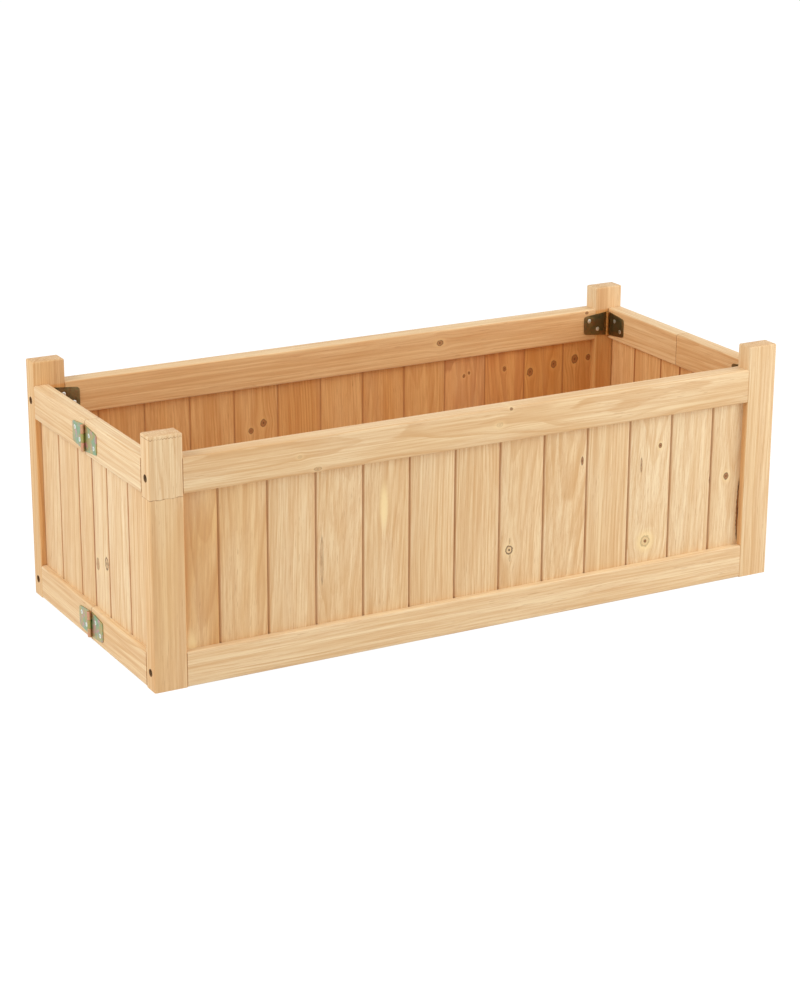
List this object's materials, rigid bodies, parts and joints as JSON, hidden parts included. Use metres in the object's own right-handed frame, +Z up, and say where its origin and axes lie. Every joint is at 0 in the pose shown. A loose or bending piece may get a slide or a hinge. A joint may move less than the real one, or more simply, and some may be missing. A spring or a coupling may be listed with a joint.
{
  "type": "folding raised garden bed",
  "caption": "Open rectangular wooden planter frame of slatted panels with corner posts, hinged at its corners and across its ends so that it folds flat.",
  "frame": {"origin": "on the ground under the middle of the open bed", "axes": "+X along the length towards the right end, +Y towards the back panel, +Z up"},
  "size_m": [1.013, 0.438, 0.356],
  "materials": {
    "fir": "bare planed softwood, matt",
    "zinc_hinge": "yellow zinc plating, satin",
    "zinc_screw": "yellow zinc plating, satin"
  },
  "bodies": {
    "front_panel": {"front_left_post": "fir", "front_right_post": "fir", "front_top_rail": "fir", "front_bottom_rail": "fir", "front_slats": "fir", "front_post_screws": "zinc_screw", "front_panel_hinge_screws": "zinc_screw", "left_front_hinge_panel_leaves": "zinc_hinge", "right_front_hinge_panel_leaves": "zinc_hinge", "left_front_hinge_pins": "zinc_hinge"},
    "back_panel": {"back_left_post": "fir", "back_right_post": "fir", "back_top_rail": "fir", "back_bottom_rail": "fir", "back_slats": "fir", "back_post_screws": "zinc_screw", "back_panel_hinge_screws": "zinc_screw", "left_back_hinge_panel_leaves": "zinc_hinge", "right_back_hinge_panel_leaves": "zinc_hinge", "right_back_hinge_pins": "zinc_hinge"},
    "left_front_half": {"left_front_top_rail": "fir", "left_front_bottom_rail": "fir", "left_front_slat_1": "fir", "left_front_slat_2": "fir", "left_front_slat_3": "fir", "left_front_hinge_half_leaves": "zinc_hinge", "left_middle_hinge_front_leaves": "zinc_hinge", "left_front_half_hinge_screws": "zinc_screw"},
    "left_back_half": {"left_back_top_rail": "fir", "left_back_bottom_rail": "fir", "left_back_slat_1": "fir", "left_back_slat_2": "fir", "left_back_slat_3": "fir", "left_back_hinge_half_leaves": "zinc_hinge", "left_middle_hinge_back_leaves": "zinc_hinge", "left_back_half_hinge_screws": "zinc_screw", "left_back_hinge_pins": "zinc_hinge", "left_middle_hinge_pins": "zinc_hinge"},
    "right_front_half": {"right_front_top_rail": "fir", "right_front_bottom_rail": "fir", "right_front_slat_1": "fir", "right_front_slat_2": "fir", "right_front_slat_3": "fir", "right_front_hinge_half_leaves": "zinc_hinge", "right_middle_hinge_front_leaves": "zinc_hinge", "right_front_half_hinge_screws": "zinc_screw", "right_front_hinge_pins": "zinc_hinge", "right_middle_hinge_pins": "zinc_hinge"},
    "right_back_half": {"right_back_top_rail": "fir", "right_back_bottom_rail": "fir", "right_back_slat_1": "fir", "right_back_slat_2": "fir", "right_back_slat_3": "fir", "right_back_hinge_half_leaves": "zinc_hinge", "right_middle_hinge_back_leaves": "zinc_hinge", "right_back_half_hinge_screws": "zinc_screw"}
  },
  "joints": [
    {"name": "left_front_corner", "type": "hinge", "parent": "front_panel", "child": "left_front_half", "pos_m": [-0.4725, -0.1875, 0], "axis": [0, 0, -1], "range_deg": [0, 90]},
    {"name": "left_middle", "type": "hinge", "parent": "left_front_half", "child": "left_back_half", "pos_m": [-0.5035, 0, 0], "axis": [0, 0, 1], "range_deg": [0, 180]},
    {"name": "left_back_corner", "type": "hinge", "parent": "left_back_half", "child": "back_panel", "pos_m": [-0.4725, 0.1875, 0], "axis": [0, 0, -1], "range_deg": [0, 90]},
    {"name": "right_front_corner", "type": "hinge", "parent": "front_panel", "child": "right_front_half", "pos_m": [0.4725, -0.1875, 0], "axis": [0, 0, 1], "range_deg": [0, 90]},
    {"name": "right_middle", "type": "hinge", "parent": "right_front_half", "child": "right_back_half", "pos_m": [0.5035, 0, 0], "axis": [0, 0, -1], "range_deg": [0, 180]}
  ],
  "couplings": [
    {"joint": "left_front_corner", "follows": "left_middle", "ratio": 0.5},
    {"joint": "left_back_corner", "follows": "left_middle", "ratio": 0.5},
    {"joint": "right_front_corner", "follows": "left_middle", "ratio": 0.5},
    {"joint": "right_middle", "follows": "left_middle", "ratio": 1}
  ]
}
